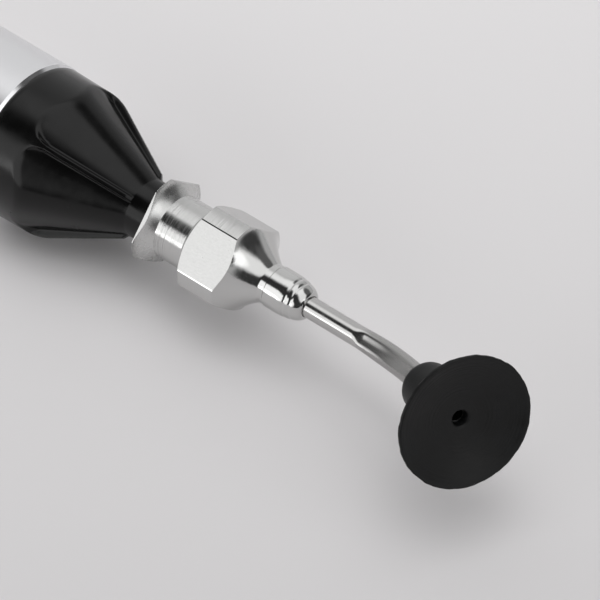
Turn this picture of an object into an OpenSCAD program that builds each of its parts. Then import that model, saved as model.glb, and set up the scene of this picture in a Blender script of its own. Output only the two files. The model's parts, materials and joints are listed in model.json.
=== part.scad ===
// Vacuum pick up pen, lying on a table: an aluminium barrel with a push button in its side,
// a ribbed black nose, a nickel plated Luer hub, a bent needle and a rubber suction cup.
// The pen's axis is +X, from the rear end of the barrel at the origin towards the cup.

/* [Barrel] */
// Outside diameter of the barrel tube
barrel_d = 12.7; // [12.5:0.1:14]
// Wall of the barrel tube
barrel_wall = 0.8; // [0.6:0.1:0.9]
// Length of the barrel tube
barrel_len = 84; // [80:1:110]
// Bevel on the front edge of the barrel
barrel_bevel = 0.3; // [0.1:0.05:0.5]

/* [Tail cap] */
// Diameter of the tail cap, a little under the barrel's
cap_d = 12.3; // [12:0.1:12.7]
// Length of the cap behind the barrel
cap_len = 10; // [6:0.5:16]
// Rounding of the cap's rear edge
cap_round = 1.5; // [0.5:0.1:3]
// Length of the cap's plug inside the barrel
cap_plug_len = 8; // [5:0.5:12]

/* [Nose] */
// Length of the nose's plug inside the barrel
nose_plug_len = 9; // [6:0.5:12]
// Step down from the barrel to the nose, on the radius
nose_step = 0.08; // [0.02:0.02:0.2]
// Length of the round shoulder in front of the barrel
shoulder_len = 4.7; // [4:0.1:6]
// Narrowing of the shoulder towards its front, on the radius
shoulder_taper = 0.1; // [0.05:0.05:0.3]
// Length of the cone
cone_len = 6.7; // [5:0.1:9]
// Length of the plain collar behind the hub
collar_len = 2; // [1:0.05:3]
// Diameter of the collar
collar_d = 4.85; // [4.6:0.05:6]
// Number of ribs along the cone
rib_count = 4; // [3:1:6]
// Width of a rib
rib_w = 0.55; // [0.3:0.05:0.9]
// Depth of the panels between the ribs, at the collar and at the end of the slope into them
panel_depth = 0.25; // [0.1:0.05:0.4]
// Depth of the panels where the shoulder ends
knee_depth = 0.5; // [0.3:0.05:1]
// Distance from the barrel to the rear edge of the panels
panel_start = 3.1; // [1.5:0.1:3.2]
// Length of the slope down into a panel
panel_ramp = 0.55; // [0.5:0.05:1.1]
// Turn of the first rib about the pen's axis, from +Y towards +Z
rib_turn = 126; // [0:1:180]
// Diameter of the air bore
air_d = 1.6; // [1:0.1:2]

/* [Luer taper] */
// Diameter of the socket at its mouth
luer_d = 4.29; // [4.27:0.01:4.31]
// Loss of diameter for each millimetre of length
luer_taper = 0.06; // [0.05:0.01:0.07]
// Length of the male taper
luer_len = 7.5; // [6:0.1:8]
// Depth of the socket
luer_depth = 9; // [8.5:0.1:10]
// Clearance between taper and socket, on the radius
luer_clear = 0.03; // [0.01:0.01:0.06]
// Gap between the collar and the hub
hub_gap = 0.1; // [0.05:0.05:0.3]

/* [Hub] */
// Diameter across the turned corners
hub_d = 7.8; // [7.6:0.05:8.2]
// Width across the flats
hub_flats = 6.54; // [6.3:0.02:7]
// Turn of the flats about the pen's axis
hub_turn = 47; // [0:1:89]
// Thickness of the flange at its corners
flange_rim = 0.08; // [0.05:0.01:0.2]
// Height of the flange's sloped front, from rim to neck
flange_slope = 0.9; // [0.6:0.05:1.2]
// Diameter of the neck
neck_d = 5.2; // [5.1:0.05:5.6]
// Rounding where the flange meets the neck
neck_round = 0.8; // [0.4:0.05:1]
// Distance from the flange's back to the corners of the square body
body_start = 4.5; // [4:0.05:6]
// Length of the square body along its corners
body_len = 3.35; // [2.5:0.05:5]
// Length of the turned slope behind the square body
body_slope = 0.8; // [0.5:0.05:1]
// Length of the taper in front of the square body
hub_taper_len = 2; // [1.6:0.1:3]
// Hollow rounding between the taper and the waist
waist_round = 1.8; // [1:0.1:2]
// Diameter of the waist
waist_d = 3.2; // [3:0.05:3.3]
// Distance from the taper's end to the boss
waist_len = 0.9; // [0.5:0.05:1.5]
// Greatest diameter of the boss around the needle
boss_d = 3.35; // [3.3:0.05:4]
// Length of the boss
boss_len = 3.2; // [2.5:0.05:5]
// Rounding of the boss's front edge
boss_round = 0.8; // [0.4:0.05:1]

/* [Needle] */
// Outside diameter of the needle tube
needle_d = 1.65; // [1.2:0.05:1.7]
// Inside diameter of the needle tube
needle_bore = 1.1; // [0.8:0.05:1.1]
// Straight length between the hub and the bend
needle_run = 4.75; // [2:0.05:10]
// Radius of the bend on the tube's centre line
bend_r = 12; // [8:0.5:20]
// Angle of the bend
bend_angle = 32; // [15:1:60]
// Thickening of the tube's wall in the bend, to each side
bend_swell = 0.04; // [0.02:0.01:0.08]
// Direction of the bend about the pen's axis, from +Y towards +Z
bend_turn = 139; // [0:1:359]
// Straight length from the bend to the needle's open end
tip_run = 6.2; // [5.5:0.1:10]

/* [Suction cup] */
// Diameter of the cup
cup_d = 10.2; // [8:0.1:14]
// Depth of the dish
dish_depth = 0.9; // [0.5:0.05:1.2]
// Width of the flat lip around the dish
lip_w = 0.2; // [0.1:0.05:0.4]
// Thickness of the cup's edge
edge_t = 0.3; // [0.2:0.05:0.6]
// Thickness between the needle's end and the dish
cup_floor = 0.8; // [0.5:0.05:1.5]
// Depth of the needle in the cup's sleeve
sleeve_len = 5.35; // [4.5:0.05:5.5]
// Diameter of the sleeve
sleeve_d = 3.9; // [3:0.1:5]
// Rounding of the sleeve's rear edge
sleeve_round = 0.9; // [0.3:0.05:1]
// Length of the flare between the sleeve and the edge
flare_len = 2.6; // [2:0.1:4]
// Diameter of the air hole in the dish
hole_d = 1.2; // [0.8:0.05:1.4]

/* [Push button] */
// Length of the button
button_len = 22; // [16:0.5:28]
// Width of the button
button_w = 7; // [6:0.1:7.2]
// Height of the button above the barrel
button_rise = 2.65; // [2:0.05:4]
// Rounding of the button's top edge
button_edge = 0.8; // [0.4:0.05:1.2]
// Distance from the barrel's front to the button
button_setback = 23; // [22:0.5:30]
// Clearance between the button and its frame, on each side
button_clear = 0.12; // [0.08:0.01:0.2]
// Wall of the frame around the button
frame_wall = 0.5; // [0.4:0.05:0.6]
// Width of the frame's lip on the barrel
frame_lip_w = 0.6; // [0.4:0.05:0.7]
// Thickness of the frame's lip
frame_lip_t = 0.35; // [0.2:0.05:0.4]

/* [Squeeze tube] */
// Wall of the rubber tube
tube_wall = 1.1; // [0.8:0.05:1.4]
// Length of the spigots that the tube is pushed on to
spigot_len = 8; // [6:0.5:9]
// Bevel on the end of a spigot
spigot_bevel = 0.5; // [0.2:0.1:1]
// Width of a clamp ring
clamp_w = 4; // [3:0.5:5]
// Thickness of a clamp ring
clamp_t = 0.5; // [0.3:0.05:0.6]
// Thickness of the presser under the button
presser_t = 1; // [0.6:0.05:1.2]
// Gap between the presser and the tube
presser_gap = 0.1; // [0.05:0.05:0.2]
// Clearance between the presser and the barrel's bore, on the radius
presser_clear = 0.15; // [0.1:0.05:0.3]
// Angle that the presser spans around the tube
presser_span = 126; // [120:1:140]
// Overlap of the presser behind the barrel's wall, at each end
presser_lap = 0.7; // [0.4:0.05:0.8]

/* [Hidden] */
$fn = 96;

// Overlap that lets a cut run clear of a face
past = 1;

barrel_r = barrel_d / 2;
bore_r = barrel_r - barrel_wall;

nose_len = shoulder_len + cone_len + collar_len;
shoulder_r = barrel_r - nose_step;
knee_r = shoulder_r - shoulder_taper;
collar_r = collar_d / 2;
collar_x = shoulder_len + cone_len;

hub_x = barrel_len + nose_len + hub_gap;
hub_r = hub_d / 2;
neck_r = neck_d / 2;
waist_r = waist_d / 2;
boss_r = boss_d / 2;
body_end = body_start + body_len;
boss_x = body_end + hub_taper_len + waist_len;
hub_len = boss_x + boss_len;

needle_r = needle_d / 2;
needle_x = hub_x + luer_depth;
bend_x = hub_len - luer_depth + needle_run;
// The straight lengths run this far into the thicker wall of the bend
bend_lap = bend_swell;

cup_len = cup_floor + dish_depth;
dish_r = cup_d / 2 - lip_w;
dish_sphere = (dish_r * dish_r + dish_depth * dish_depth) / (2 * dish_depth);

// The presser runs just inside the barrel's bore, and the rubber tube lies under it
presser_out = bore_r - presser_clear;
presser_in = presser_out - presser_t;
tube_d = 2 * (presser_in - presser_gap);
tube_r = tube_d / 2;
tube_bore = tube_d - 2 * tube_wall;
spigot_r = tube_bore / 2;
tube_start = cap_plug_len;
tube_end = barrel_len - nose_plug_len;
clamp_inset = (spigot_len - clamp_w) / 2;

opening_grow = 2 * button_clear;
window_grow = opening_grow + 2 * frame_wall;
lip_grow = window_grow + 2 * frame_lip_w;
presser_grow = window_grow + 2 * presser_lap;

button_x = barrel_len - button_setback - button_len / 2;
button_top = barrel_r + button_rise;

// The pen leans on the rounded edge of its button: this is how far below the horizontal
// the button then faces
edge_side = button_w / 2 - button_edge;
edge_up = button_top - button_edge;
edge_reach = norm([edge_up, edge_side]);
button_lean = asin((barrel_r - button_edge) / edge_reach) - atan2(edge_side, edge_up);

function unit(v) = v / norm(v);

// Points of an arc that rounds the corner b between a and c
function rounded(a, b, c, r, steps = 8) =
    let (
        to_a = unit(a - b),
        to_c = unit(c - b),
        half = acos(to_a * to_c) / 2,
        centre = b + unit(to_a + to_c) * r / sin(half),
        first = b + to_a * r / tan(half) - centre,
        last = b + to_c * r / tan(half) - centre,
        from = atan2(first.y, first.x),
        turn = atan2(last.y, last.x) - from,
        sweep = turn > 180 ? turn - 360 : turn < -180 ? turn + 360 : turn
    )
    [for (i = [0:steps]) centre + r * [cos(from + sweep * i / steps), sin(from + sweep * i / steps)]];

// Height of the dish's surface above its lowest point, at a radius
function dish_rise(r) = dish_sphere - sqrt(dish_sphere * dish_sphere - r * r);

// A body turned about the X axis from [x, radius] points
module turned(points) {
    rotate([0, 90, 0])
        rotate_extrude()
            polygon([for (p = points) [p.y, p.x]]);
}

// A straight hole along the X axis
module bore(from, to, r) {
    translate([from, 0, 0])
        rotate([0, 90, 0])
            cylinder(h = to - from, r = r);
}

// The button's own frame: +Z points out of the barrel through the middle of the button
module at_button() {
    translate([button_x, 0, 0])
        rotate([90 + button_lean, 0, 0])
            children();
}

// A straight column with round ends, the button's outline grown by a given amount
module column(grow, height) {
    w = button_w + grow;
    middle = button_len - button_w;
    linear_extrude(height) {
        square([middle, w], center = true);
        for (end = [-1, 1])
            translate([end * middle / 2, 0])
                circle(d = w);
    }
}

module barrel() {
    front = barrel_len - barrel_bevel;
    color("silver")
        difference() {
            turned([
                [0, bore_r],
                [barrel_len, bore_r],
                [barrel_len, barrel_r - barrel_bevel],
                [front, barrel_r],
                [0, barrel_r]
            ]);
            at_button()
                column(window_grow, barrel_r + past);
        }
}

module button_frame() {
    color("dimgray")
        difference() {
            at_button()
                intersection() {
                    union() {
                        column(window_grow, barrel_r + past);
                        intersection() {
                            column(lip_grow, barrel_r + past);
                            difference() {
                                bore(-button_len, button_len, barrel_r + past);
                                bore(-button_len - past, button_len + past, barrel_r);
                            }
                        }
                    }
                    difference() {
                        bore(-button_len, button_len, barrel_r + frame_lip_t);
                        bore(-button_len - past, button_len + past, bore_r);
                    }
                }
            at_button()
                column(opening_grow, barrel_r + 2 * past);
        }
}

// The shape outside the panels, around the whole cone
module panel_ring() {
    ramp_x = panel_start + panel_ramp;
    start_r = shoulder_r - shoulder_taper * panel_start / shoulder_len;
    ramp_r = shoulder_r - shoulder_taper * ramp_x / shoulder_len - panel_depth;
    outer_r = barrel_r + past;
    // The slope into the panels runs on outwards, so it cuts the shoulder in a clean edge
    lead = panel_ramp * (outer_r - start_r) / (start_r - ramp_r);
    turned([
        [panel_start - lead, outer_r],
        [ramp_x, ramp_r],
        [shoulder_len, knee_r - knee_depth],
        [collar_x, collar_r],
        [collar_x, outer_r]
    ]);
}

module nose_ribs() {
    for (i = [0:rib_count - 1])
        rotate([rib_turn + i * 360 / rib_count, 0, 0])
            translate([0, 0, -rib_w / 2])
                cube([nose_len, barrel_d, rib_w]);
}

module nose_cone() {
    spigot_x = -nose_plug_len - spigot_len;
    taper_r = luer_d / 2 - luer_clear;
    taper_root = taper_r + luer_taper * hub_gap / 2;
    taper_end = taper_r - luer_taper * (luer_len - hub_gap) / 2;
    color("black")
        translate([barrel_len, 0, 0])
            difference() {
                turned([
                    [spigot_x, air_d / 2],
                    [nose_len + luer_len, air_d / 2],
                    [nose_len + luer_len, taper_end],
                    [nose_len, taper_root],
                    [nose_len, collar_r],
                    [collar_x, collar_r],
                    [collar_x, collar_r + panel_depth],
                    [shoulder_len, knee_r],
                    [0, shoulder_r],
                    [0, bore_r],
                    [-nose_plug_len, bore_r],
                    [-nose_plug_len, spigot_r],
                    [spigot_x + spigot_bevel, spigot_r],
                    [spigot_x, spigot_r - spigot_bevel]
                ]);
                difference() {
                    panel_ring();
                    nose_ribs();
                }
            }
}

module tail_cap() {
    cap_r = cap_d / 2;
    rear = [-cap_len, cap_r];
    spigot_end = cap_plug_len + spigot_len;
    color("black")
        turned(concat(
            [
                [-cap_len, 0],
                [spigot_end, 0],
                [spigot_end, spigot_r - spigot_bevel],
                [spigot_end - spigot_bevel, spigot_r],
                [cap_plug_len, spigot_r],
                [cap_plug_len, bore_r],
                [0, bore_r],
                [0, cap_r]
            ],
            rounded([0, cap_r], rear, [-cap_len, 0], cap_round)
        ));
}

module squeeze_tube() {
    color("#3a3330")
        turned([
            [tube_start, spigot_r],
            [tube_end, spigot_r],
            [tube_end, tube_r],
            [tube_start, tube_r]
        ]);
}

// A ring that clamps the rubber tube on a spigot
module clamp(x) {
    color("gainsboro")
        turned([
            [x, tube_r],
            [x + clamp_w, tube_r],
            [x + clamp_w, tube_r + clamp_t],
            [x, tube_r + clamp_t]
        ]);
}

module front_clamp() {
    clamp(tube_end - clamp_inset - clamp_w);
}

module rear_clamp() {
    clamp(tube_start + clamp_inset);
}

module push_button() {
    half = button_w / 2;
    middle = button_len - button_w;
    crown = rounded([half, 0], [half, button_top], [0, button_top], button_edge);
    side = concat([[0, 0], [half, 0]], crown, [[0, button_top]]);
    color("black")
        at_button()
            difference() {
                union() {
                    for (end = [-1, 1])
                        translate([end * middle / 2, 0, 0])
                            rotate_extrude()
                                polygon(side);
                    translate([-middle / 2, 0, 0])
                        rotate([90, 0, 90])
                            linear_extrude(middle)
                                for (flip = [0, 1])
                                    mirror([flip, 0])
                                        polygon(side);
                }
                bore(-button_len, button_len, presser_out);
            }
}

module presser() {
    half_len = (button_len + presser_grow) / 2;
    skirt = presser_out * cos(presser_span / 2);
    color("dimgray")
        at_button()
            intersection() {
                difference() {
                    bore(-half_len, half_len, presser_out);
                    bore(-half_len - past, half_len + past, presser_in);
                }
                translate([-half_len, -presser_out, skirt])
                    cube([2 * half_len, 2 * presser_out, presser_out]);
            }
}

module luer_hub() {
    slope_x = body_start - body_slope;
    taper_x = body_end + hub_taper_len;
    rim = [flange_rim, hub_r];
    flange_foot = [flange_rim + flange_slope, neck_r];
    waist = [taper_x, waist_r];
    boss_tip = [hub_len, boss_r];
    color("lightgray")
        translate([hub_x, 0, 0])
            difference() {
                intersection() {
                    turned(concat(
                        [[0, 0], [0, hub_r], rim],
                        rounded(rim, flange_foot, [slope_x, neck_r], neck_round),
                        [[slope_x, neck_r], [body_start, hub_r], [body_end, hub_r]],
                        rounded([body_end, hub_r], waist, [boss_x, waist_r], waist_round),
                        [[boss_x, waist_r], [boss_x + boss_r - waist_r, boss_r]],
                        rounded([boss_x, boss_r], boss_tip, [hub_len, 0], boss_round),
                        [[hub_len, 0]]
                    ));
                    rotate([hub_turn, 0, 0])
                        translate([-past, -hub_flats / 2, -hub_flats / 2])
                            cube([hub_len + 2 * past, hub_flats, hub_flats]);
                }
                turned([
                    [-past, 0],
                    [-past, (luer_d + luer_taper * past) / 2],
                    [luer_depth, (luer_d - luer_taper * luer_depth) / 2],
                    [luer_depth, needle_r],
                    [hub_len + past, needle_r],
                    [hub_len + past, 0]
                ]);
            }
}

// The needle's own frame: it starts at the bottom of the socket along X and bends towards Y
module at_needle() {
    translate([needle_x, 0, 0])
        rotate([bend_turn, 0, 0])
            children();
}

// The frame at the needle's open end, with X along its last straight length
module at_tip() {
    at_needle()
        translate([bend_x + bend_r * sin(bend_angle), bend_r * (1 - cos(bend_angle)), 0])
            rotate([0, 0, bend_angle])
                translate([tip_run, 0, 0])
                    children();
}

// The section of the needle's tube, with its wall swollen by a given amount to both sides
module needle_ring(swell = 0) {
    difference() {
        circle(r = needle_r + swell);
        circle(r = needle_bore / 2 - swell);
    }
}

// A straight length of the tube along the X axis
module needle_length(from, to) {
    translate([from, 0, 0])
        rotate([90, 0, 90])
            linear_extrude(to - from)
                needle_ring();
}

module needle() {
    color("whitesmoke") {
        at_needle() {
            needle_length(0, bend_x + bend_lap);
            translate([bend_x, bend_r, 0])
                rotate([0, 0, -90])
                    rotate_extrude(angle = bend_angle)
                        translate([bend_r, 0])
                            needle_ring(bend_swell);
        }
        at_tip()
            needle_length(-tip_run - bend_lap, 0);
    }
}

module suction_cup() {
    cup_r = cup_d / 2;
    sleeve_r = sleeve_d / 2;
    hole_r = hole_d / 2;
    dish_steps = 10;
    edge_x = cup_len - edge_t;
    flare_x = edge_x - flare_len;
    rear = [-sleeve_len, sleeve_r];
    color("#202020")
        at_tip()
            turned(concat(
                [
                    [-sleeve_len, needle_r],
                    [0, needle_r],
                    [0, hole_r]
                ],
                [
                    for (i = [0:dish_steps])
                        let (r = hole_r + (dish_r - hole_r) * i / dish_steps)
                        [cup_floor + dish_rise(r), r]
                ],
                [
                    [cup_len, cup_r],
                    [edge_x, cup_r],
                    [flare_x, sleeve_r]
                ],
                rounded([flare_x, sleeve_r], rear, [-sleeve_len, needle_r], sleeve_round)
            ));
}

barrel();
button_frame();
nose_cone();
tail_cap();
squeeze_tube();
front_clamp();
rear_clamp();
push_button();
presser();
luer_hub();
needle();
suction_cup();
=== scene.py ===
# %% [markdown]
# # A vacuum pick up pen
#
# The pen lies on a pale sheet of paper: a satin aluminium barrel, a black ribbed nose, a turned
# metal hub, a bent needle and a rubber cup. The exact solids of every piece are loaded first, as
# a frame that fixes every place and size. Pieces whose surface says more than a plain solid can
# (moulded ribs, a turned hub, a bent tube, cut rubber) are then modelled again over that frame,
# and the plain ones keep their solid and get a finish.

# %% Load the frame
import json
import math

import bmesh
import bpy
from mathutils import Matrix, Vector


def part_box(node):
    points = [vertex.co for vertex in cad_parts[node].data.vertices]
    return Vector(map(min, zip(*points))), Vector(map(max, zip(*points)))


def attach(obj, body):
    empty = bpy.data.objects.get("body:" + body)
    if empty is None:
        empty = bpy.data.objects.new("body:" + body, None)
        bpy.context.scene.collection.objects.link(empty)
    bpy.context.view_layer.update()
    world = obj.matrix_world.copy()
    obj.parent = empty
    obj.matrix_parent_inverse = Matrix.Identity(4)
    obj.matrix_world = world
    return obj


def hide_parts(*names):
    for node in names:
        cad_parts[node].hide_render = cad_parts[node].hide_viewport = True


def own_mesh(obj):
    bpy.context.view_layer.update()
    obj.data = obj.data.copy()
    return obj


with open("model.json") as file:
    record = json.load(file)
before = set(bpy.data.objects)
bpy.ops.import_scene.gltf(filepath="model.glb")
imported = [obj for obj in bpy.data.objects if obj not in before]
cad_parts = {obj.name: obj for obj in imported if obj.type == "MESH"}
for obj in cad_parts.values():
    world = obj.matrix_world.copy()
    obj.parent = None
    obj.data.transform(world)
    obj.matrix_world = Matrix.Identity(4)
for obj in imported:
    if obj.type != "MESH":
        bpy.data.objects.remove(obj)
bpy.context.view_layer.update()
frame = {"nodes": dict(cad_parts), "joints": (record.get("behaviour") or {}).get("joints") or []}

MM = 0.001
print("pieces in the frame:", ", ".join(sorted(frame["nodes"])))


# %% [markdown]
# ## Measures from the frame
#
# A few faces of the solids carry everything else: the barrel's front end carries the nose, the
# hub's back face carries the hub, and its front end carries the needle. Reading them from the
# frame keeps the modelled pieces in place. All the modelling below is in millimetres, because the
# pen is small, and one scale turns the finished points to metres.

# %% Read the carrying faces
BARREL_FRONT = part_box("barrel")[1].x / MM
FLOOR_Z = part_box("barrel")[0].z / MM
HUB_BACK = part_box("luer_hub")[0].x / MM
HUB_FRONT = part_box("luer_hub")[1].x / MM
print(f"barrel front {BARREL_FRONT:.2f}, hub {HUB_BACK:.2f} to {HUB_FRONT:.2f}, floor {FLOOR_Z:.2f} mm")


# %% [markdown]
# ## The camera
#
# A small object like this is photographed from some distance with a long lens, so parallel edges
# stay nearly parallel. The viewing angles come from the ellipses of the cup and the hub. One known
# point, the middle of the hub's flange, and the pixel where it shows then fix where the camera is.

# %% Set up the camera
PICTURE = 600
FOCAL_PIXELS = 3429
AZIMUTH, ELEVATION = math.radians(39.67), math.radians(46.44)
FLANGE = Vector((HUB_BACK + 0.05, 0, 0))
FLANGE_PIXEL = (166.5, 220.9)
FLANGE_DEPTH = 257

right = Vector((math.cos(AZIMUTH), math.sin(AZIMUTH), 0))
ahead = Vector((
    -math.sin(AZIMUTH) * math.cos(ELEVATION),
    math.cos(AZIMUTH) * math.cos(ELEVATION),
    -math.sin(ELEVATION),
))
up = right.cross(ahead)
pixel = FLANGE_DEPTH / FOCAL_PIXELS
eye = FLANGE - ahead * FLANGE_DEPTH
eye -= right * (FLANGE_PIXEL[0] - PICTURE / 2) * pixel
eye += up * (FLANGE_PIXEL[1] - PICTURE / 2) * pixel

camera = bpy.data.objects.new("camera", bpy.data.cameras.new("camera"))
bpy.context.scene.collection.objects.link(camera)
bpy.context.scene.camera = camera
camera.matrix_world = Matrix.Translation(eye * MM) @ Matrix((right, up, -ahead)).transposed().to_4x4()
camera.data.sensor_width = 36
camera.data.lens = camera.data.sensor_width * FOCAL_PIXELS / PICTURE
camera.data.clip_start = 0.01
bpy.context.scene.view_settings.view_transform = "Standard"
print(f"camera {FLANGE_DEPTH} mm away with a {camera.data.lens:.0f} mm lens")


# %% [markdown]
# ## Two helpers for finishes
#
# Colours are written as a painter reads them, as sRGB hex values, and Blender's shaders want
# linear light, so one function turns them over. A second one adds a node with its settings and
# links. Every piece sits at the world's origin, with its place in its mesh, so object
# coordinates are the frame's own metres, and scaled by 1000 they are millimetres.

# %% Colour and node helpers
def linear(code):
    """An sRGB hex colour as linear red, green, blue and full alpha."""
    parts = [int(code[i:i + 2], 16) / 255 for i in (1, 3, 5)]
    return [c / 12.92 if c <= 0.04045 else ((c + 0.055) / 1.055) ** 2.4 for c in parts] + [1]


def add_node(tree, kind, settings=None, inputs=None):
    """Add a node. An input is a value, or another node's output socket to link."""
    node = tree.nodes.new(kind)
    for name, value in (settings or {}).items():
        setattr(node, name, value)
    for socket, value in (inputs or {}).items():
        if isinstance(value, bpy.types.NodeSocket):
            tree.links.new(value, node.inputs[socket])
        else:
            node.inputs[socket].default_value = value
    return node


def start_material(name, **values):
    """A material with its shader's constant values set, and its coordinates in millimetres."""
    material = bpy.data.materials.new(name)
    material.use_nodes = True
    tree = material.node_tree
    shader = tree.nodes["Principled BSDF"]
    for socket, value in values.items():
        shader.inputs[socket.replace("_", " ")].default_value = value
    coords = add_node(tree, "ShaderNodeTexCoord")
    place = add_node(tree, "ShaderNodeMapping", inputs={
        "Vector": coords.outputs["Object"], "Scale": (1 / MM, 1 / MM, 1 / MM)})
    print("finish:", name)
    return material, tree, shader, place.outputs["Vector"]


# %% [markdown]
# ## The paper and the light
#
# Small parts are photographed on white paper between large soft lights. Shiny metal mirrors the
# whole room, so it looks right only if the room is right: a pale room with a few soft lights in
# it, and dark gaps beside them where the studio is. A world that depends on direction makes such
# a room with nothing in the way: each light or gap is a soft-edged patch around one direction,
# laid over those before it. A lamp above gives the shadows their weight.

# %% Paper on the table
paper, tree, shader, place = start_material("matt_paper", Roughness=0.9)
# painted shade: the paper's colour greys a little towards the front, standing in for the light falling
# off there, over the stretch in view
PAPER_SHADE_SPAN = 36
level_ahead = Vector((ahead.x, ahead.y, 0)).normalized()
picture_middle = eye + ahead * (FLOOR_Z - eye.z) / ahead.z
back = add_node(tree, "ShaderNodeVectorMath", {"operation": "DOT_PRODUCT"}, {0: place, 1: level_ahead})
painted_shade = add_node(tree, "ShaderNodeMapRange", inputs={
    "Value": back.outputs["Value"], "From Min": picture_middle.dot(level_ahead) - PAPER_SHADE_SPAN,
    "From Max": picture_middle.dot(level_ahead) + PAPER_SHADE_SPAN})
tint = add_node(tree, "ShaderNodeMix", {"data_type": "RGBA"}, {
    "Factor": painted_shade.outputs["Result"], "A": linear("#D6D4D5"), "B": linear("#EDEBEC")})
tree.links.new(tint.outputs["Result"], shader.inputs["Base Color"])

PAPER_SIZE = 1.6
bpy.ops.mesh.primitive_plane_add(size=PAPER_SIZE, location=(0, 0, FLOOR_Z * MM))
sheet = bpy.context.object
sheet.name = "paper_sheet"
sheet.data.materials.append(paper)
print(f"paper at {FLOOR_Z:.2f} mm")

# %% The room and its lights
ROOM = 0.55
# azimuth from +X towards +Y, height above the horizon, inner and outer radius (degrees), level
PATCHES = (
    (0, 90, 26, 44, 1.3),       # the soft light above
    (135, 20, 18, 40, 0.78),    # the bright wall at the back
    (-98, 28, 44, 60, 0.04),    # the dark studio around the camera
    (-46, 18, 16, 26, 0.05),
    (-122, 18, 17, 23, 1.5),    # the soft light at the front left, in two halves
    (-93, 16, 17, 22, 1.5),
    (-117, 1, 8, 13, 3.2),      # a bright strip low in it
    (0, 44, 20, 34, 1.2),       # the soft light at the right
    (-6, 21, 9, 14, 1.8),       # its bright middle
    (36, 20, 14, 26, 0.06),     # the dark gap behind it
    (58, 40, 14, 24, 0.14),
)
room = bpy.data.worlds.new("pale_room")
bpy.context.scene.world = room
room.use_nodes = True
tree = room.node_tree
look = add_node(tree, "ShaderNodeTexCoord").outputs["Generated"]
level = (ROOM, ROOM, ROOM, 1)
for azimuth, height, inner, outer, strength in PATCHES:
    turn, lift = math.radians(azimuth), math.radians(height)
    middle = (math.cos(turn) * math.cos(lift), math.sin(turn) * math.cos(lift), math.sin(lift))
    nearness = add_node(tree, "ShaderNodeVectorMath", {"operation": "DOT_PRODUCT"}, {0: look, 1: middle})
    share = add_node(tree, "ShaderNodeMapRange", {"interpolation_type": "SMOOTHSTEP"}, {
        "Value": nearness.outputs["Value"], "From Min": math.cos(math.radians(outer)),
        "From Max": math.cos(math.radians(inner))})
    patch = add_node(tree, "ShaderNodeMix", {"data_type": "RGBA"}, {
        "Factor": share.outputs["Result"], "A": level, "B": (strength, strength, strength, 1)})
    level = patch.outputs["Result"]
tree.links.new(level, tree.nodes["Background"].inputs["Color"])
print(f"room with {len(PATCHES)} patches")

# %% The lamp above
LAMP_PLACE, LAMP_SIZE = Vector((105, -80, 330)), 320
lamp = bpy.data.objects.new("lamp_above", bpy.data.lights.new("lamp_above", "AREA"))
bpy.context.scene.collection.objects.link(lamp)
lamp.data.shape = "DISK"
lamp.data.size = LAMP_SIZE * MM
lamp.data.energy = 0.3
lamp.location = LAMP_PLACE * MM
lamp.rotation_euler = (Vector((LAMP_PLACE.x, 0, 0)) - LAMP_PLACE).to_track_quat("-Z", "Y").to_euler()
# the room already shows the metal the light above, so the lamp stays out of reflections
lamp.visible_glossy = False
print(f"lamp {LAMP_PLACE.z} mm up, {LAMP_SIZE} mm wide")


# %% [markdown]
# ## Anodised aluminium
#
# The barrel is a drawn aluminium tube, etched matt and anodised in its own colour. The etching
# leaves a grain of a few hundredths of a millimetre that spreads reflections into a soft sheen.
# A metal shader with middling roughness gives the sheen. The grain is finer than a pixel of this
# picture, so it is drawn about four times as coarse. The chamfer at each end was cut after the
# etching, so there the metal is bright, and a step in the place along the axis marks it.

# %% Make the barrel's finish
ETCH_GRAIN, CHAMFER = 0.16, 0.3
aluminium, tree, shader, place = start_material(
    "anodised_aluminium", Base_Color=linear("#E6E6E8"), Metallic=1.0)
grain = add_node(tree, "ShaderNodeTexNoise", inputs={
    "Vector": place, "Scale": 1 / ETCH_GRAIN, "Detail": 2})
along = add_node(tree, "ShaderNodeSeparateXYZ", inputs={"Vector": place})
from_middle = add_node(tree, "ShaderNodeMath", {"operation": "COMPARE"}, {
    0: along.outputs["X"], 1: BARREL_FRONT / 2, 2: BARREL_FRONT / 2 - CHAMFER})
satin = add_node(tree, "ShaderNodeMapRange", inputs={
    "Value": grain.outputs["Fac"], "To Min": 0.3, "To Max": 0.42})
spread = add_node(tree, "ShaderNodeMix", {"data_type": "FLOAT"}, {
    "Factor": from_middle.outputs["Value"], "A": 0.12, "B": satin.outputs["Result"]})
bump = add_node(tree, "ShaderNodeBump", inputs={
    "Height": grain.outputs["Fac"], "Strength": 0.12, "Distance": 0.01 * MM})
tree.links.new(spread.outputs["Result"], shader.inputs["Roughness"])
tree.links.new(bump.outputs["Normal"], shader.inputs["Normal"])


# %% [markdown]
# ## Black ABS
#
# The nose, the tail cap and the button are moulded in black ABS from a polished mould. The
# surface is glossy but never quite flat: it sinks and swells a little over about a millimetre,
# and handling leaves faint smears that break the gloss. Two noises, one for the swell and one
# for the smears, give both. So deep a black mirrors little, which a low specular level gives.

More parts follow.
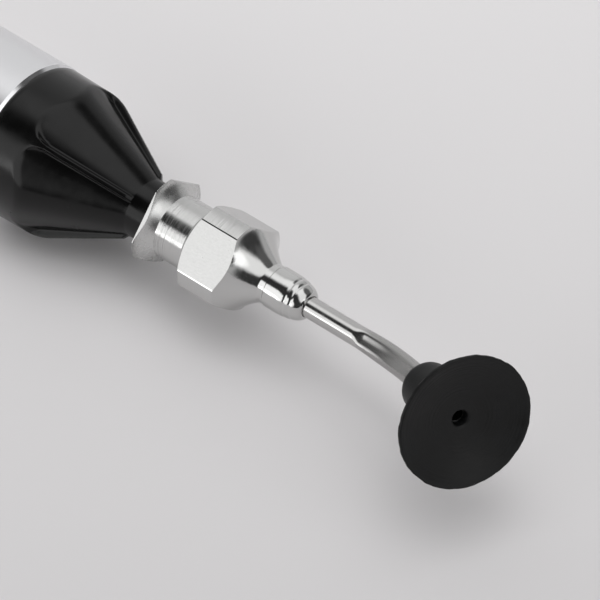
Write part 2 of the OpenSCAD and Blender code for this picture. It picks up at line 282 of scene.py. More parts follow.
# %% Make the moulded black
SWELL, SMEAR = 1.1, 2.5
black_abs, tree, shader, place = start_material(
    "moulded_black_abs", Base_Color=linear("#060606"), IOR=1.53, Specular_IOR_Level=0.28)
swell = add_node(tree, "ShaderNodeTexNoise", inputs={"Vector": place, "Scale": 1 / SWELL, "Detail": 1})
smear = add_node(tree, "ShaderNodeTexNoise", inputs={
    "Vector": place, "Scale": 1 / SMEAR, "Detail": 5, "Roughness": 0.65})
gloss = add_node(tree, "ShaderNodeMapRange", inputs={
    "Value": smear.outputs["Fac"], "From Min": 0.3, "From Max": 0.7, "To Min": 0.13, "To Max": 0.28})
bump = add_node(tree, "ShaderNodeBump", inputs={
    "Height": swell.outputs["Fac"], "Strength": 0.25, "Distance": 0.02 * MM})
tree.links.new(gloss.outputs["Result"], shader.inputs["Roughness"])
tree.links.new(bump.outputs["Normal"], shader.inputs["Normal"])


# %% [markdown]
# ## Building from rings
#
# A lathe, a tube bender and a mould with ribs all leave shapes that can be described as rings
# of points, one after the other along an axis. So one helper joins rings into a skin of quads.
# Most of the pieces are hollow, so their skin runs along the outside and back through the bore,
# and the last ring joins the first like in a doughnut. A solid piece gets a cap at each end instead.

# %% Ring helpers
def ring(x, radius, angles):
    """Points around the pen's axis. The radius is a number or a function of the angle."""
    size = radius if callable(radius) else lambda angle: radius
    return [Vector((x, size(a) * math.cos(a), size(a) * math.sin(a))) for a in angles]


def skin(name, rings, closed=True):
    """A piece from rings of equally many points: closed into a loop, or with capped ends."""
    around, count = len(rings[0]), len(rings)
    points = [p * MM for r in rings for p in r]
    faces = []
    for i in range(count if closed else count - 1):
        a, b = i * around, (i + 1) % count * around
        faces += [(a + j, a + (j + 1) % around, b + (j + 1) % around, b + j) for j in range(around)]
    if not closed:
        faces += [tuple(range(around)), tuple(range((count - 1) * around, count * around))]
    mesh = bpy.data.meshes.new(name)
    mesh.from_pydata(points, [], faces)
    return mesh


def add_piece(mesh, materials, body, node, sharp=35):
    """Put a finished mesh in the scene in place of a node, with edges sharp above an angle."""
    shape = bmesh.new()
    shape.from_mesh(mesh)
    bmesh.ops.recalc_face_normals(shape, faces=shape.faces)
    if shape.calc_volume(signed=True) < 0:
        bmesh.ops.reverse_faces(shape, faces=shape.faces)
    shape.to_mesh(mesh)
    shape.free()
    mesh.shade_smooth()
    mesh.set_sharp_from_angle(angle=math.radians(sharp))
    for material in materials:
        mesh.materials.append(material)
    piece = bpy.data.objects.new(mesh.name, mesh)
    bpy.context.scene.collection.objects.link(piece)
    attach(piece, body)
    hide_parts(node)
    print(f"{mesh.name}: {len(mesh.polygons)} faces")
    return piece


def even_angles(count):
    """Angles spread evenly around the axis."""
    return [2 * math.pi * i / count for i in range(count)]


def arc(centre, radius, start, end, steps):
    """Points (along, out) of an arc, with angles in degrees from the along direction."""
    turns = [math.radians(start + (end - start) * i / steps) for i in range(steps + 1)]
    return [(centre[0] + radius * math.cos(t), centre[1] + radius * math.sin(t)) for t in turns]


# %% [markdown]
# ## The ribbed nose
#
# The nose is one moulding: a round shoulder, a cone with four thin ribs, and a plain collar. The
# panels between the ribs are straight cones. They start on the shoulder, further back beside the
# ribs than in their middle and with wide round corners, and the ribs stand highest there. A height
# above the axis for each angle and place describes all of that. The rings' points gather at the
# ribs and follow their sides, so the rib edges stay clean lines.

# %% The nose's measures
SHOULDER_LEN, CONE_LEN, COLLAR_LEN = 4.7, 6.7, 2.0
SHOULDER_R, KNEE_R, COLLAR_R = 6.27, 6.17, 2.425
PANEL_DEPTH, PANEL_START, PANEL_MIDDLE, PANEL_SOFT = 0.25, 3.2, 4.0, 0.2
PANEL_CORNER, CORNER_SOFT = 2.3, 0.6
RIBS, RIB_TURN, RIB_W, RIB_SIDE, RIB_EDGE = 4, math.radians(126), 0.36, 0.14, 0.03
KNEE_SOFT = 0.5
COLLAR_X = SHOULDER_LEN + CONE_LEN
RIB_PITCH = 2 * math.pi / RIBS
print(f"nose with {RIBS} ribs, collar {COLLAR_X:.1f} mm ahead of the barrel")


def smooth(value, low, high):
    """A soft step from 0 below low to 1 above high."""
    t = min(max((value - low) / (high - low), 0), 1)
    return t * t * (3 - 2 * t)


def crest(x):
    """The radius over the ribs: the shoulder, a rounded knee and the cone."""
    shoulder = SHOULDER_R - (SHOULDER_R - KNEE_R) * x / SHOULDER_LEN
    cone = KNEE_R - (KNEE_R - COLLAR_R - PANEL_DEPTH) * (x - SHOULDER_LEN) / CONE_LEN
    near = max(KNEE_SOFT - abs(shoulder - cone), 0) / KNEE_SOFT
    return min(shoulder, cone) - near * near * KNEE_SOFT / 4


def panel_cone(x, start):
    """The radius of a panel's straight cone, from its rear edge to the collar."""
    share = (x - start) / (COLLAR_X - start)
    return crest(start) + (COLLAR_R - crest(start)) * share


def nose_radius(x, angle):
    """The nose's surface at a place along the axis and an angle around it."""
    turn = abs((angle - RIB_TURN + RIB_PITCH / 2) % RIB_PITCH - RIB_PITCH / 2)
    start = PANEL_START + (PANEL_MIDDLE - PANEL_START) * smooth(turn, RIB_PITCH / 6, RIB_PITCH / 2)
    # the panel's depth, with its rear edge rounded
    gap = crest(x) - panel_cone(x, start)
    near = max(PANEL_SOFT - abs(gap), 0)
    depth = max(gap, 0) + near * near / (4 * PANEL_SOFT)
    # its round corners, soft towards the rear and steep at the rib's side
    back = max(PANEL_CORNER - CORNER_SOFT - (x - start), 0)
    side = max(PANEL_CORNER - (crest(x) * math.sin(turn) - RIB_W / 2), 0)
    reach = math.hypot(back, side)
    lean = back / reach if reach else 0
    wall = RIB_SIDE + (CORNER_SOFT - RIB_SIDE) * lean * lean
    return crest(x) - depth * smooth(PANEL_CORNER - reach, -RIB_EDGE, wall)


# %% Shape the nose
def rib_angles(radius):
    """Angles around the nose that follow the sides of the ribs at a given radius."""
    edge = math.asin((RIB_W / 2 - RIB_EDGE) / radius)
    foot = math.asin((RIB_W / 2 + RIB_SIDE) / radius)
    spans = ((-edge, edge, 4), (edge, foot, 8), (foot, RIB_PITCH - foot, 60),
             (RIB_PITCH - foot, RIB_PITCH - edge, 8))
    one = [a + (b - a) * i / n for a, b, n in spans for i in range(n)]
    return [RIB_TURN + k * RIB_PITCH + turn for k in range(RIBS) for turn in one]


NOSE_EDGE, RIB_END = 0.12, 0.25
PLUG_R, PLUG_LEN, SPIGOT_R, SPIGOT_LEN, SPIGOT_BEVEL, AIR_R = 5.54, 9, 3.19, 8, 0.5, 0.8
TAPER_R, TAPER_END_R, TAPER_LEN = 2.118, 1.893, 7.5

# close together where the panels start
stops = [0.5, 1, 1.5, 2, 2.3]
stops += [2.4 + 0.09 * i for i in range(44)]
stops += [6.4 + 0.2 * i for i in range(24)] + [COLLAR_X - RIB_END]
plain = rib_angles(SHOULDER_R)
spigot_end = -PLUG_LEN - SPIGOT_LEN
rings = [ring(spigot_end, AIR_R, plain), ring(spigot_end, SPIGOT_R - SPIGOT_BEVEL, plain),
         ring(spigot_end + SPIGOT_BEVEL, SPIGOT_R, plain), ring(-PLUG_LEN, SPIGOT_R, plain),
         ring(-PLUG_LEN, PLUG_R, plain), ring(0, PLUG_R, plain),
         ring(0, SHOULDER_R - NOSE_EDGE, plain), ring(NOSE_EDGE / 3, SHOULDER_R - NOSE_EDGE / 3, plain),
         ring(NOSE_EDGE, SHOULDER_R, plain)]
rings += [ring(x, lambda a, x=x: nose_radius(x, a), rib_angles(crest(x))) for x in stops]
narrow = rib_angles(crest(COLLAR_X - RIB_END))
nose_end = COLLAR_X + COLLAR_LEN
rings += [ring(COLLAR_X, COLLAR_R, narrow), ring(COLLAR_X + 0.05, COLLAR_R - 0.02, narrow),
          ring(nose_end - NOSE_EDGE, COLLAR_R - 0.02, narrow),
          ring(nose_end - NOSE_EDGE / 3, COLLAR_R - NOSE_EDGE / 3, narrow),
          ring(nose_end, COLLAR_R - NOSE_EDGE, narrow), ring(nose_end, TAPER_R, narrow),
          ring(nose_end + TAPER_LEN, TAPER_END_R, narrow), ring(nose_end + TAPER_LEN, AIR_R, narrow)]
for points in rings:
    for p in points:
        p.x += BARREL_FRONT
add_piece(skin("ribbed_nose", rings), [black_abs], "pen", "nose_cone", sharp=80)


# %% [markdown]
# ## Bright nickel
#
# The hub is turned from brass bar, its flats are milled, and it is plated with nickel. The tools
# leave different surfaces under the same plating. Turning leaves rings a few hundredths of a
# millimetre apart, which smear a mirror image along the axis. The mill leaves straight, slightly
# rougher tracks along the flats. The taper and the boss are polished and mirror clearly, and the
# flange was faced in one fine cut that only softens the image. Rings and tracks are drawn about
# three times as coarse as they are, to show at this size.

# %% Make the turned, milled, polished and faced nickel
NICKEL = "#C8C8C7"
TURNING_PITCH, MILLING_PITCH, POLISH_FILM, FACING_FILM = 0.14, 0.12, 0.35, 0.5
turned_nickel, tree, shader, place = start_material(
    "turned_nickel_plate", Base_Color=linear(NICKEL), Metallic=1.0, Roughness=0.13)
along = add_node(tree, "ShaderNodeSeparateXYZ", inputs={"Vector": place})
marks = add_node(tree, "ShaderNodeTexNoise", {"noise_dimensions": "1D"}, {
    "W": along.outputs["X"], "Scale": 1 / TURNING_PITCH, "Detail": 3, "Roughness": 0.6})
bump = add_node(tree, "ShaderNodeBump", inputs={
    "Height": marks.outputs["Fac"], "Strength": 0.7, "Distance": 0.05 * MM})
tree.links.new(bump.outputs["Normal"], shader.inputs["Normal"])

milled_nickel, tree, shader, place = start_material("milled_nickel_plate", Metallic=1.0)
stretch = add_node(tree, "ShaderNodeMapping", inputs={"Vector": place, "Scale": (0.3, 1, 1)})
marks = add_node(tree, "ShaderNodeTexNoise", inputs={
    "Vector": stretch.outputs["Vector"], "Scale": 1 / MILLING_PITCH, "Detail": 3, "Roughness": 0.7})
worn = add_node(tree, "ShaderNodeMapRange", inputs={
    "Value": marks.outputs["Fac"], "From Min": 0.3, "From Max": 0.7, "To Min": 0.15, "To Max": 0.28})
tint = add_node(tree, "ShaderNodeMix", {"data_type": "RGBA"}, {
    "Factor": marks.outputs["Fac"], "A": linear("#B0B0AF"), "B": linear("#D4D4D3")})
tree.links.new(tint.outputs["Result"], shader.inputs["Base Color"])
bump = add_node(tree, "ShaderNodeBump", inputs={
    "Height": marks.outputs["Fac"], "Strength": 0.35, "Distance": 0.012 * MM})
tree.links.new(worn.outputs["Result"], shader.inputs["Roughness"])
tree.links.new(bump.outputs["Normal"], shader.inputs["Normal"])

polished_nickel, tree, shader, place = start_material(
    "polished_nickel_plate", Base_Color=linear(NICKEL), Metallic=1.0)
film = add_node(tree, "ShaderNodeTexNoise", inputs={
    "Vector": place, "Scale": 1 / POLISH_FILM, "Detail": 5, "Roughness": 0.7})
worn = add_node(tree, "ShaderNodeMapRange", inputs={
    "Value": film.outputs["Fac"], "From Min": 0.3, "From Max": 0.7, "To Min": 0.05, "To Max": 0.16})
bump = add_node(tree, "ShaderNodeBump", inputs={
    "Height": film.outputs["Fac"], "Strength": 0.25, "Distance": 0.02 * MM})
tree.links.new(worn.outputs["Result"], shader.inputs["Roughness"])
tree.links.new(bump.outputs["Normal"], shader.inputs["Normal"])

faced_nickel, tree, shader, place = start_material(
    "faced_nickel_plate", Base_Color=linear(NICKEL), Metallic=1.0)
film = add_node(tree, "ShaderNodeTexNoise", inputs={
    "Vector": place, "Scale": 1 / FACING_FILM, "Detail": 4})
worn = add_node(tree, "ShaderNodeMapRange", inputs={
    "Value": film.outputs["Fac"], "From Min": 0.3, "From Max": 0.7, "To Min": 0.24, "To Max": 0.3})
tree.links.new(worn.outputs["Result"], shader.inputs["Roughness"])


# %% [markdown]
# ## The turned hub
#
# On the lathe the hub is a round body: a thin flange with a hollow front, a neck, a thick middle,
# a hollow taper down to a waist and a bullet-shaped boss that holds the needle. Four flats are
# then milled on it, and they cut the flange and the middle into squares with round corners. The
# model is made the same way: rings first, then four cuts that are closed with flat faces, and
# last eight shallow cuts along the long edges, because no razor edge is left on such a piece.

# %% Turn the hub
HUB_R, HUB_FLATS, HUB_TURN = 3.9, 6.54, math.radians(47)
NECK_R, WAIST_R, BOSS_R, NEEDLE_R = 2.6, 1.6, 1.675, 0.825
RIM, FLANGE_FOOT, SLOPE_X, BODY_X, BODY_END = 0.05, 1.0, 3.7, 4.5, 7.85
WAIST_X, BOSS_X, HUB_LEN = 10.2, 10.75, HUB_FRONT - HUB_BACK
SOCKET_R, SOCKET_END_R, SOCKET_DEPTH = 2.145, 1.875, 9
BOSS_NOSE, BOSS_ROUND, MARK_W, MARK_DEPTH = 2.2, 0.78, 0.1, 0.05

profile = [(0, SOCKET_R), (0, HUB_R - 0.03), (0.03, HUB_R), (RIM, HUB_R)]
# the flange's hollow front: steep at the rim, sloping at the neck
for i in range(1, 13):
    profile.append((RIM + (FLANGE_FOOT - RIM) * (i / 12) ** 1.7, HUB_R - (HUB_R - NECK_R) * i / 12))
profile += [(SLOPE_X - 0.1, NECK_R), (SLOPE_X, NECK_R + 0.04), (BODY_X - 0.06, HUB_R - 0.06),
            (BODY_X + 0.02, HUB_R), (BODY_END, HUB_R)]
# the hollow taper: steep at the body, level at the waist
for i in range(1, 21):
    t = math.radians(90 * i / 20)
    profile.append((BODY_END + (WAIST_X - BODY_END) * math.sin(t) ** 1.25,
                    WAIST_R + (HUB_R - WAIST_R) * (1 - math.sin(t)) ** 1.15))
profile += [(BOSS_X - 0.06, WAIST_R), (BOSS_X - 0.02, WAIST_R - 0.04), (BOSS_X + 0.04, BOSS_R)]
# the boss's nose, a stretched quarter round, with the two marks of the tool that grips the needle
for along_nose, out in arc((0, 0), 1, 90, 0, 44):
    x = HUB_LEN - BOSS_NOSE * (1 - along_nose)
    mark = sum(math.exp(-((x - m) / MARK_W) ** 2) for m in (HUB_LEN - 1.35, HUB_LEN - 0.85))
    profile.append((x, BOSS_R - BOSS_ROUND * (1 - out) - MARK_DEPTH * mark))
profile += [(HUB_LEN, NEEDLE_R + 0.05), (HUB_LEN - 0.05, NEEDLE_R + 0.01),
            (SOCKET_DEPTH, NEEDLE_R + 0.01), (SOCKET_DEPTH, SOCKET_END_R)]
hub_mesh = skin("turned_hub", [ring(x, r, even_angles(192)) for x, r in profile])

# %% Mill the hub's flats
CHAMFER_TURN, CHAMFER_DEPTH = math.radians(14), 0.015
corner_turn = math.acos(HUB_FLATS / 2 / HUB_R)
chamfer_from_axis = HUB_R * math.cos(corner_turn - CHAMFER_TURN) - CHAMFER_DEPTH


def facing(turn):
    """The direction away from the axis at an angle."""
    return Vector((0, math.cos(turn), math.sin(turn)))


quarters = [HUB_TURN + q * math.pi / 2 for q in range(4)]
flats = [(facing(turn), HUB_FLATS / 2 * MM) for turn in quarters]
chamfers = [(facing(turn + side * CHAMFER_TURN), chamfer_from_axis * MM)
            for turn in quarters for side in (-1, 1)]
shape = bmesh.new()
shape.from_mesh(hub_mesh)
for normal, distance in flats + chamfers:
    bmesh.ops.bisect_plane(
        shape, geom=shape.verts[:] + shape.edges[:] + shape.faces[:], dist=1e-8,
        plane_co=normal * distance, plane_no=normal, clear_outer=True)
    bmesh.ops.holes_fill(shape, edges=[e for e in shape.edges if e.is_boundary], sides=0)
shape.normal_update()


def lies_in(face, planes):
    """Whether a face lies in one of the planes."""
    middle = face.calc_center_median()
    return any(abs(face.normal.dot(n)) > 0.9999 and abs(middle.dot(n) - d) < 1e-7 for n, d in planes)


TURNED, MILLED, POLISHED, FACED = range(4)
for face in shape.faces:
    x = face.calc_center_median().x / MM
    round_face = FACED if x < FLANGE_FOOT else TURNED if x < BODY_END else POLISHED
    cut_face = MILLED if lies_in(face, flats) else POLISHED
    cut = lies_in(face, flats + chamfers)
    face.material_index = cut_face if cut else round_face
    face.smooth = not cut
print("milled faces:", sum(f.material_index == MILLED for f in shape.faces))
shape.to_mesh(hub_mesh)
shape.free()
hub_mesh.transform(Matrix.Translation((HUB_BACK * MM, 0, 0)))
hub_finishes = [turned_nickel, milled_nickel, polished_nickel, faced_nickel]
add_piece(hub_mesh, hub_finishes, "tip", "luer_hub", sharp=12)


# %% [markdown]
# ## Stainless steel tube
#
# The needle is drawn stainless tube, ground and polished along its length, so it mirrors clearly
# with faint streaks along the tube. Bending it over a former flattens it a little, swells it
# sideways and dulls the skin where it slid over the tool. A noise that is stretched along the
# tube gives the streaks, at about the width that grinding belts leave.

# %% Make the drawn steel
STREAK, RUB, BEND_START = 0.12, 0.8, HUB_FRONT + 4.75
drawn_steel, tree, shader, place = start_material("drawn_stainless_steel", Metallic=1.0)
stretch = add_node(tree, "ShaderNodeMapping", inputs={"Vector": place, "Scale": (0.06, 1, 1)})
streaks = add_node(tree, "ShaderNodeTexNoise", inputs={
    "Vector": stretch.outputs["Vector"], "Scale": 1 / STREAK, "Detail": 3})
rub = add_node(tree, "ShaderNodeTexNoise", inputs={"Vector": place, "Scale": 1 / RUB, "Detail": 3})
worn = add_node(tree, "ShaderNodeMapRange", inputs={
    "Value": rub.outputs["Fac"], "From Min": 0.3, "From Max": 0.7, "To Min": 0.12, "To Max": 0.24})
along = add_node(tree, "ShaderNodeSeparateXYZ", inputs={"Vector": place})
in_bend = add_node(tree, "ShaderNodeMapRange", inputs={
    "Value": along.outputs["X"], "From Min": BEND_START, "From Max": BEND_START + 1})
spread = add_node(tree, "ShaderNodeMix", {"data_type": "FLOAT"}, {
    "Factor": in_bend.outputs["Result"], "A": worn.outputs["Result"], "B": 0.27})
# painted shade: the bend's colour is darker, standing in for the darker room that the bent, flattened
# tube mirrors; the rougher skin there is the real dulling
tint = add_node(tree, "ShaderNodeMix", {"data_type": "RGBA"}, {
    "Factor": in_bend.outputs["Result"], "A": linear("#BDBCBB"), "B": linear("#A6A5A4")})
tree.links.new(tint.outputs["Result"], shader.inputs["Base Color"])
bump = add_node(tree, "ShaderNodeBump", inputs={
    "Height": streaks.outputs["Fac"], "Strength": 0.15, "Distance": 0.01 * MM})
tree.links.new(spread.outputs["Result"], shader.inputs["Roughness"])
tree.links.new(bump.outputs["Normal"], shader.inputs["Normal"])


# %% [markdown]
# ## The bent needle
#
# The tube's centre line is straight, then an arc, then straight again. A section is carried along
# it, round where it is straight. In the bend the former has pressed a groove into the hollow side,
# with a step at its start that catches the light, and the tube has spread sideways. The skin runs
# out along the outside and comes back along the bore, so the tube is really hollow.

# %% Bend the needle
BEND_R, BEND_ANGLE, BEND_TURN = 12, math.radians(32), math.radians(139)
TIP_RUN, NEEDLE_START, NEEDLE_BORE = 6.2, HUB_BACK + 9, 0.55
# a higher power makes the groove narrower
WIDENED, GROOVE, GROOVE_POWER, PRESSED_TURN = 0.1, 0.24, 6, math.radians(100)
toward = Vector((0, math.cos(BEND_TURN), math.sin(BEND_TURN)))
across = Vector((1, 0, 0)).cross(toward)


def centre_line(way):
    """The point and the direction of the needle's centre line, at a distance past the bend's start."""
    turn = min(max(way / BEND_R, 0), BEND_ANGLE)
    ahead_of = max(way - BEND_R * BEND_ANGLE, 0)
    heading = Vector((math.cos(turn), 0, 0)) + toward * math.sin(turn)
    point = Vector((BEND_START + BEND_R * math.sin(turn) + min(way, 0), 0, 0))
    return point + toward * BEND_R * (1 - math.cos(turn)) + heading * ahead_of, heading


def needle_section(way, radius, steps=48):
    """A ring of the tube: wider in the bend, and with a groove on one side there."""
    point, heading = centre_line(way)
    hollow_side = across.cross(heading)
    pressed = across * math.cos(PRESSED_TURN) + hollow_side * math.sin(PRESSED_TURN)
    bent = smooth(way, -0.3, 0.6) * (1 - smooth(way, 7.6, 9))
    wide = radius + WIDENED * smooth(way, -0.5, 3) * bent
    section = []
    for t in even_angles(steps):
        dent = GROOVE * bent * max(math.cos(t - PRESSED_TURN), 0) ** GROOVE_POWER
        outer = across * wide * math.cos(t) + hollow_side * radius * math.sin(t)
        section.append(point + outer - pressed * dent)
    return section


needle_end = BEND_R * BEND_ANGLE + TIP_RUN
ways = [NEEDLE_START - BEND_START] + [-8, -6, -4.6] + [-4.4 + 0.4 * i for i in range(9)]
ways += [-0.7 + 0.06 * i for i in range(24)] + [0.8 + 0.14 * i for i in range(50)]
ways += [8, 9, 10, 11.5, needle_end]
rings = [needle_section(w, NEEDLE_R) for w in ways]
rings += [needle_section(w, NEEDLE_BORE) for w in reversed(ways)]
add_piece(skin("bent_needle", rings), [drawn_steel], "tip", "needle")


# %% [markdown]
# ## Moulded rubber
#
# The cup is soft nitrile rubber, filled with carbon black, moulded and then trimmed. Its skin is
# matt, and it copies the turning rings of its mould, so it has a fine tooth in circles about the
# cup's axis. A faint grey bloom comes out of the rubber with time. A rough shader with two noises
# shows them: one that runs with the distance from the axis, as bump, and a broad one that greys
# the black in patches.

# %% Make the rubber
RINGS, BLOOM = 0.16, 2.2
cup_seat, cup_axis = centre_line(needle_end)
cup_rubber, tree, shader, place = start_material(
    "moulded_nitrile_rubber", IOR=1.52, Specular_IOR_Level=0.27)
from_seat = add_node(tree, "ShaderNodeVectorMath", {"operation": "SUBTRACT"}, {0: place, 1: cup_seat})
lever = add_node(tree, "ShaderNodeVectorMath", {"operation": "CROSS_PRODUCT"}, {
    0: from_seat.outputs["Vector"], 1: cup_axis})
off_axis = add_node(tree, "ShaderNodeVectorMath", {"operation": "LENGTH"}, {0: lever.outputs["Vector"]})
tooth = add_node(tree, "ShaderNodeTexNoise", {"noise_dimensions": "1D"}, {
    "W": off_axis.outputs["Value"], "Scale": 1 / RINGS, "Detail": 3})
bloom = add_node(tree, "ShaderNodeTexNoise", inputs={
    "Vector": place, "Scale": 1 / BLOOM, "Detail": 4, "Roughness": 0.6})
patch = add_node(tree, "ShaderNodeMapRange", inputs={
    "Value": bloom.outputs["Fac"], "From Min": 0.4, "From Max": 0.75})
tint = add_node(tree, "ShaderNodeMix", {"data_type": "RGBA"}, {
    "Factor": patch.outputs["Result"], "A": linear("#040404"), "B": linear("#0E0F10")})
spread = add_node(tree, "ShaderNodeMapRange", inputs={
    "Value": bloom.outputs["Fac"], "From Min": 0.3, "From Max": 0.7, "To Min": 0.4, "To Max": 0.55})
bump = add_node(tree, "ShaderNodeBump", inputs={
    "Height": tooth.outputs["Fac"], "Strength": 0.4, "Distance": 0.04 * MM})
tree.links.new(tint.outputs["Result"], shader.inputs["Base Color"])
tree.links.new(spread.outputs["Result"], shader.inputs["Roughness"])
tree.links.new(bump.outputs["Normal"], shader.inputs["Normal"])


# %% [markdown]
# ## The suction cup
#
# The cup is a shallow dish on a short sleeve that is pushed over the needle. Its thin rim was
# trimmed from the moulding's flash and is a little ragged, and that is what makes it look like
# rubber instead of metal. So the rings are turned about the needle's last straight length, and
# those at the rim get a small uneven radius made of a few waves.

# %% Shape the cup
CUP_R, DISH_DEPTH, LIP_W, EDGE_T, CUP_FLOOR = 5.1, 0.9, 0.2, 0.3, 0.8
SLEEVE_R, SLEEVE_LEN, SLEEVE_ROUND, FLARE_LEN, HOLE_R = 1.95, 5.35, 0.9, 2.6, 0.6
CUP_LEN, RAGGED, RIM_INSET = CUP_FLOOR + DISH_DEPTH, 0.035, 0.03
dish_sphere = ((CUP_R - LIP_W) ** 2 + DISH_DEPTH ** 2) / (2 * DISH_DEPTH)
cup_side = cup_axis.cross(across)


def ragged(angle, rim):
    """How far the trimmed edge strays, in millimetres, at an angle."""
    waves = ((5, 0.3, 0.4), (11, 1.9, 0.35), (19, 4.2, 0.3), (31, 0.8, 0.25), (47, 2.6, 0.2))
    return RAGGED * rim * sum(size * math.sin(n * angle + shift) for n, shift, size in waves)


def cup_ring(along_axis, radius, rim=0.0):
    """A ring of the cup, ragged by a share."""
    centre = cup_seat + cup_axis * along_axis
    points = []
    for t in even_angles(180):
        away = across * math.cos(t) + cup_side * math.sin(t)
        points.append(centre + away * (radius + ragged(t, rim) - RIM_INSET * rim))
    return points


edge_x = CUP_LEN - EDGE_T
flare_x = edge_x - FLARE_LEN
rings = [cup_ring(-SLEEVE_LEN, NEEDLE_R + WIDENED), cup_ring(-SLEEVE_LEN + 2, NEEDLE_R + 0.02),
         cup_ring(0, NEEDLE_R + 0.02), cup_ring(0, HOLE_R)]
rings += [cup_ring(CUP_FLOOR - 0.05, HOLE_R), cup_ring(CUP_FLOOR + 0.02, HOLE_R + 0.06)]
for i in range(1, 19):
    r = HOLE_R + 0.06 + (CUP_R - LIP_W - HOLE_R - 0.06) * i / 18
    rings.append(cup_ring(CUP_FLOOR + dish_sphere - math.sqrt(dish_sphere ** 2 - r * r), r))
rings += [cup_ring(CUP_LEN, CUP_R - 0.1, 0.3), cup_ring(CUP_LEN - 0.04, CUP_R - 0.02, 0.8),
          cup_ring(CUP_LEN - 0.12, CUP_R, 1), cup_ring(edge_x + 0.06, CUP_R, 1),
          cup_ring(edge_x, CUP_R - 0.08, 0.8)]
for i in range(1, 15):
    t = i / 14
    rings.append(cup_ring(edge_x - FLARE_LEN * t, SLEEVE_R + (CUP_R - 0.08 - SLEEVE_R) * (1 - t) ** 1.12))
rings += [cup_ring(flare_x - 0.8, SLEEVE_R), cup_ring(-SLEEVE_LEN + SLEEVE_ROUND + 0.5, SLEEVE_R)]
rings += [cup_ring(x, r) for x, r in
          arc((-SLEEVE_LEN + SLEEVE_ROUND, SLEEVE_R - SLEEVE_ROUND), SLEEVE_ROUND, 90, 180, 8)]
add_piece(skin("rubber_cup", rings), [cup_rubber], "tip", "suction_cup", sharp=50)


# %% [markdown]
# ## The push button
#
# The button lies under the pen in this picture, and only its edge touches the paper. It is a
# moulded bar with round ends, a softly rounded top edge, a shallow dish for the thumb and low
# cross ridges for grip. Such a cap is a height over an outline: rows of points follow the outline
# from end to end, and the distance to the outline gives the rounded edge. The underside is hollow
# to sit on the round presser.

# %% The button's height
BUTTON_LEN, BUTTON_W, BUTTON_TOP, BUTTON_EDGE, BUTTON_BASE = 22, 7, 9.0, 0.8, 5.42
DISH, RIDGE, RIDGE_PITCH, RIDGES_LEN = 0.35, 0.12, 1.5, 10.5
button_x = (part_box("push_button")[0].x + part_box("push_button")[1].x) / 2 / MM
press = next(j for j in frame["joints"] if j["name"] == "button_press")
inward_press = Vector(press["axis"])
outward = -inward_press
sideways = Vector((1, 0, 0)).cross(outward)
straight = (BUTTON_LEN - BUTTON_W) / 2


def button_height(u, v):
    """The button's top above the pen's axis, at u along it and v across."""
    inset = BUTTON_W / 2 - math.hypot(max(abs(u) - straight, 0), v)
    fall = 1 - min(max(inset, 0), BUTTON_EDGE) / BUTTON_EDGE
    edge = BUTTON_EDGE * (1 - math.sqrt(1 - fall * fall))
    dish = DISH * smooth(inset, 0.9, 3.2)
    grip = smooth(RIDGES_LEN / 2 - abs(u), 0, 0.6) * smooth(inset, 0.9, 1.6)
    ridge = RIDGE * grip * (0.5 + 0.5 * math.cos(2 * math.pi * u / RIDGE_PITCH))
    return BUTTON_TOP - edge - dish + ridge


print(f"button {BUTTON_LEN} x {BUTTON_W} mm, middle at {button_x:.1f} mm")


# %% Shape the button
END_ROWS, HALF_ROWS, COLUMNS = 16, 62, 12
end_turns = [math.radians(89 * i / END_ROWS) for i in range(1, END_ROWS + 1)]
rows = [(straight + BUTTON_W / 2 * math.sin(t), BUTTON_W / 2 * math.cos(t)) for t in end_turns]
middle_rows = [(straight * i / HALF_ROWS, BUTTON_W / 2) for i in range(-HALF_ROWS, HALF_ROWS + 1)]
rows = [(-u, w) for u, w in reversed(rows)] + middle_rows + rows
spread_across = [math.sin(math.pi / 2 * k / COLUMNS) for k in range(-COLUMNS, COLUMNS + 1)]
start = Vector((button_x, 0, 0))
rings = []
for u, half_width in rows:
    across_row = [half_width * k for k in spread_across]
    top = [start + Vector((u, 0, 0)) + sideways * v + outward * button_height(u, v) for v in across_row]
    base = [start + Vector((u, 0, 0)) + sideways * v
            + outward * math.sqrt(BUTTON_BASE ** 2 - v * v) for v in across_row]
    rings.append(top + base[::-1])
button_mesh = skin("thumb_button", rings, closed=False)
add_piece(button_mesh, [black_abs], "button", "push_button", sharp=40)


# %% [markdown]
# ## The squeeze tube
#
# Inside the barrel a rubber tube is pushed over a spigot at each end. Pressing the button flattens
# it, and letting go draws air through the needle. The ends stay round on their spigots and only
# the middle flattens, so the tube is made of three lengths, and the middle one gets its own mesh.

# %% Make the extruded rubber
EXTRUSION_LINES = 0.3
tube_rubber, tree, shader, place = start_material(
    "extruded_rubber", Base_Color=linear("#3B3936"), Roughness=0.7, IOR=1.52)
stretch = add_node(tree, "ShaderNodeMapping", inputs={"Vector": place, "Scale": (0.05, 1, 1)})
# extrusion leaves faint lines along the tube, a fraction of a millimetre apart
lines = add_node(tree, "ShaderNodeTexNoise", inputs={
    "Vector": stretch.outputs["Vector"], "Scale": 1 / EXTRUSION_LINES, "Detail": 2})
bump = add_node(tree, "ShaderNodeBump", inputs={
    "Height": lines.outputs["Fac"], "Strength": 0.3, "Distance": 0.03 * MM})
tree.links.new(bump.outputs["Normal"], shader.inputs["Normal"])

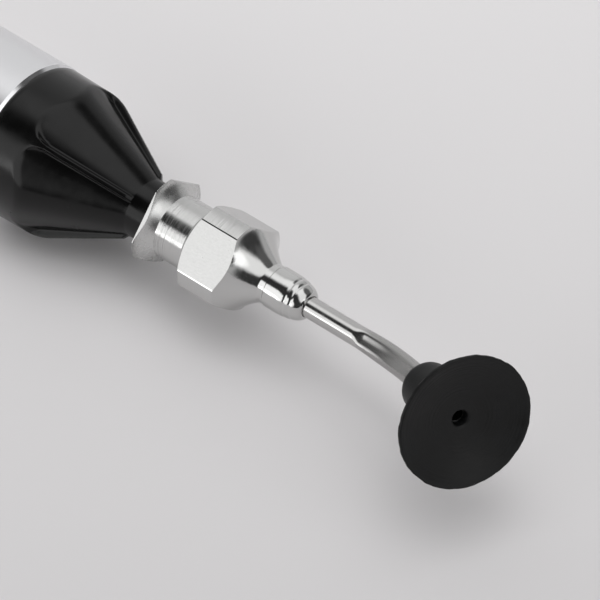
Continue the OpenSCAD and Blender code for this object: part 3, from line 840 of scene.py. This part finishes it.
# %% Cut the tube into its three lengths
TUBE_R, TUBE_BORE_R, SOFT_START, SOFT_END = 4.3, 3.2, 32, 67
TUBE_START, TUBE_END = (corner.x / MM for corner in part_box("squeeze_tube"))
lengths = {"tube_rear": (TUBE_START, SOFT_START), "tube_middle": (SOFT_START, SOFT_END),
           "tube_front": (SOFT_END, TUBE_END)}
for name, (first, last) in lengths.items():
    steps = [first + (last - first) * i / 12 for i in range(13)]
    rings = [ring(x, TUBE_R, even_angles(96)) for x in steps]
    rings += [ring(x, TUBE_BORE_R, even_angles(96)) for x in reversed(steps)]
    tube = add_piece(skin(name, rings), [tube_rubber], "pen", "squeeze_tube")
    if name == "tube_middle":
        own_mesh(tube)


# %% [markdown]
# ## The plain pieces keep their solids
#
# The barrel, the tail cap, the button's frame, the clamp rings and the presser are simple shapes
# that the frame already has exactly. Each only needs a finish in its material slot: a matt
# moulded frame, clamp rings cut from drawn aluminium tube, and a presser bent from rolled sheet.

# %% Make the last finishes
TOOTH, DRAWN_LINES, ROLLED_LINES = 0.12, 0.15, 0.2
matt_plastic, tree, shader, place = start_material(
    "matt_moulded_abs", Base_Color=linear("#1B1B1B"), Roughness=0.55, IOR=1.53)
# a spark-eroded mould leaves a fine tooth, about a tenth of a millimetre wide
tooth = add_node(tree, "ShaderNodeTexNoise", inputs={"Vector": place, "Scale": 1 / TOOTH, "Detail": 2})
bump = add_node(tree, "ShaderNodeBump", inputs={
    "Height": tooth.outputs["Fac"], "Strength": 0.3, "Distance": 0.02 * MM})
tree.links.new(bump.outputs["Normal"], shader.inputs["Normal"])

clamp_aluminium, tree, shader, place = start_material(
    "drawn_bare_aluminium", Base_Color=linear("#DCDCDD"), Metallic=1.0)
stretch = add_node(tree, "ShaderNodeMapping", inputs={"Vector": place, "Scale": (0.1, 1, 1)})
lines = add_node(tree, "ShaderNodeTexNoise", inputs={
    "Vector": stretch.outputs["Vector"], "Scale": 1 / DRAWN_LINES, "Detail": 3})
spread = add_node(tree, "ShaderNodeMapRange", inputs={
    "Value": lines.outputs["Fac"], "To Min": 0.2, "To Max": 0.4})
tree.links.new(spread.outputs["Result"], shader.inputs["Roughness"])

sheet_steel, tree, shader, place = start_material(
    "rolled_sheet_steel", Base_Color=linear("#C4C4C5"), Metallic=1.0)
stretch = add_node(tree, "ShaderNodeMapping", inputs={"Vector": place, "Scale": (0.08, 1, 1)})
lines = add_node(tree, "ShaderNodeTexNoise", inputs={
    "Vector": stretch.outputs["Vector"], "Scale": 1 / ROLLED_LINES, "Detail": 4})
spread = add_node(tree, "ShaderNodeMapRange", inputs={
    "Value": lines.outputs["Fac"], "To Min": 0.25, "To Max": 0.5})
tree.links.new(spread.outputs["Result"], shader.inputs["Roughness"])

# %% Dress the solids
FINISHES = {"barrel": aluminium, "tail_cap": black_abs, "button_frame": matt_plastic,
            "front_clamp": clamp_aluminium, "rear_clamp": clamp_aluminium, "presser": sheet_steel}
for node, material in FINISHES.items():
    slots = frame["nodes"][node].data.materials
    slots.clear()
    slots.append(material)
print("dressed:", ", ".join(FINISHES))
